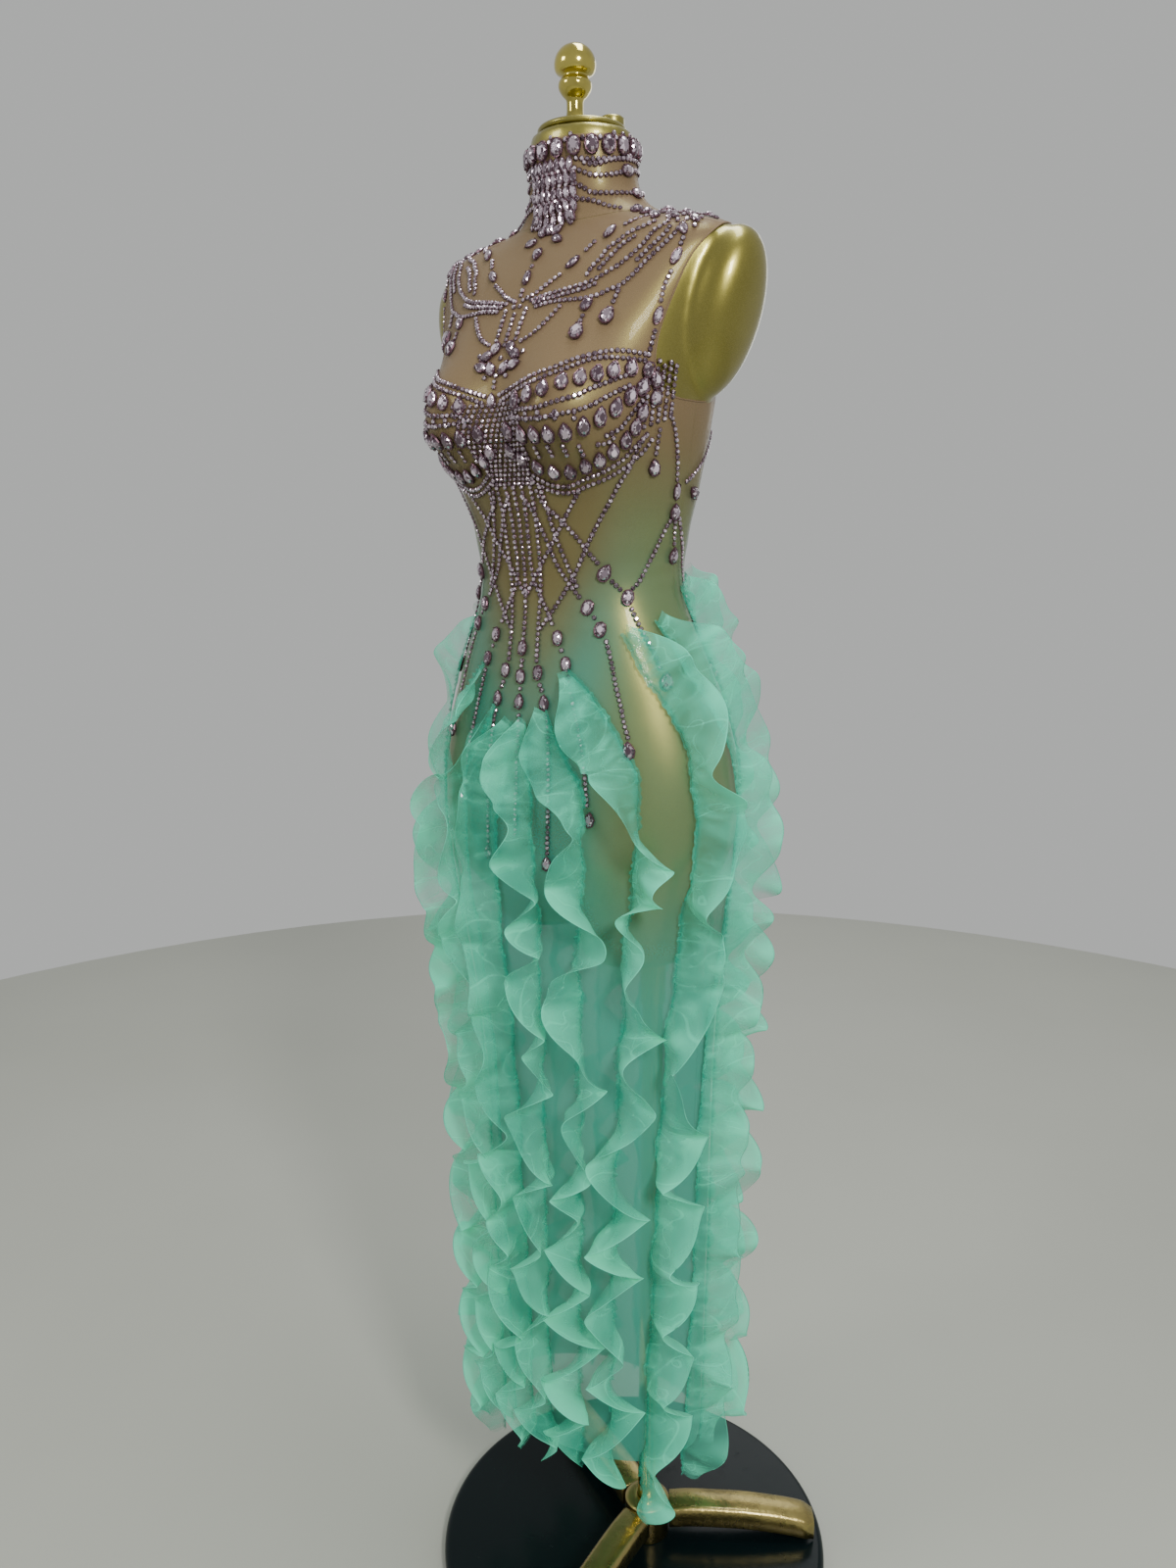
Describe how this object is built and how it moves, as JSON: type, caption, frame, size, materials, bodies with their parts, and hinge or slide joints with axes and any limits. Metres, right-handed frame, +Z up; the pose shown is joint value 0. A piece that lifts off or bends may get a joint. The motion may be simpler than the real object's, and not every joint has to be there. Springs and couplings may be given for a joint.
{
  "type": "rhinestone stage dress on a limbless display form",
  "caption": "Floor-length sheer stage dress with a high collar, rhinestone bodice and hanging tulle ruffles, worn by a limbless gold display form on a pole stand.",
  "frame": {"origin": "on the floor under the axis of the stand's pole, in the flat underside of the base disc", "axes": "+Z up along the pole, -Y towards the front of the dress, +X towards the wearer's left"},
  "size_m": [0.5429, 0.466, 1.7096],
  "materials": {
    "stretch_mesh": "sheer two-way stretch mesh, shaded from nude tan at the chest to sea green at the hem",
    "tulle": "two layers of sea-green tulle, gathered on one edge",
    "rhinestone": "faceted pale lilac crystals in dark plum settings",
    "gold_form": "smooth glossy metallic gold",
    "gold_metal": "polished gold plating",
    "black_disc": "high gloss black with a soft edge"
  },
  "bodies": {
    "root": {"dress_front": "stretch_mesh", "dress_back_left": "stretch_mesh", "dress_back_right": "stretch_mesh", "collar": "stretch_mesh", "ruffle_1_left": "tulle", "ruffle_1_right": "tulle", "ruffle_2_left": "tulle", "ruffle_2_right": "tulle", "ruffle_3_left": "tulle", "ruffle_3_right": "tulle", "ruffle_4_left": "tulle", "ruffle_4_right": "tulle", "ruffle_5_left": "tulle", "ruffle_5_right": "tulle", "ruffle_6_left": "tulle", "ruffle_6_right": "tulle", "ruffle_7_left": "tulle", "ruffle_7_right": "tulle", "ruffle_8_left": "tulle", "ruffle_8_right": "tulle", "drop_chain_inner_left": "rhinestone", "drop_chain_inner_right": "rhinestone", "drop_chain_outer_left": "rhinestone", "drop_chain_outer_right": "rhinestone", "drop_chain_side_left": "rhinestone", "drop_chain_side_right": "rhinestone", "cup_stones_upper_left": "rhinestone", "cup_stones_upper_right": "rhinestone", "cup_stones_middle_left": "rhinestone", "cup_stones_middle_right": "rhinestone", "cup_stones_lower_left": "rhinestone", "cup_stones_lower_right": "rhinestone", "shoulder_stones_left": "rhinestone", "shoulder_stones_right": "rhinestone", "collar_stones": "rhinestone", "throat_stones": "rhinestone", "chest_brooch": "rhinestone", "waist_stomacher": "rhinestone", "form_body": "gold_form", "neck_cap": "gold_form", "neck_plug": "gold_form", "finial": "gold_metal", "pole": "gold_metal", "pole_sleeve": "gold_metal", "base_disc": "black_disc", "base_hub": "gold_metal", "base_leg_1": "gold_metal", "base_leg_2": "gold_metal", "base_leg_3": "gold_metal"}
  },
  "joints": []
}
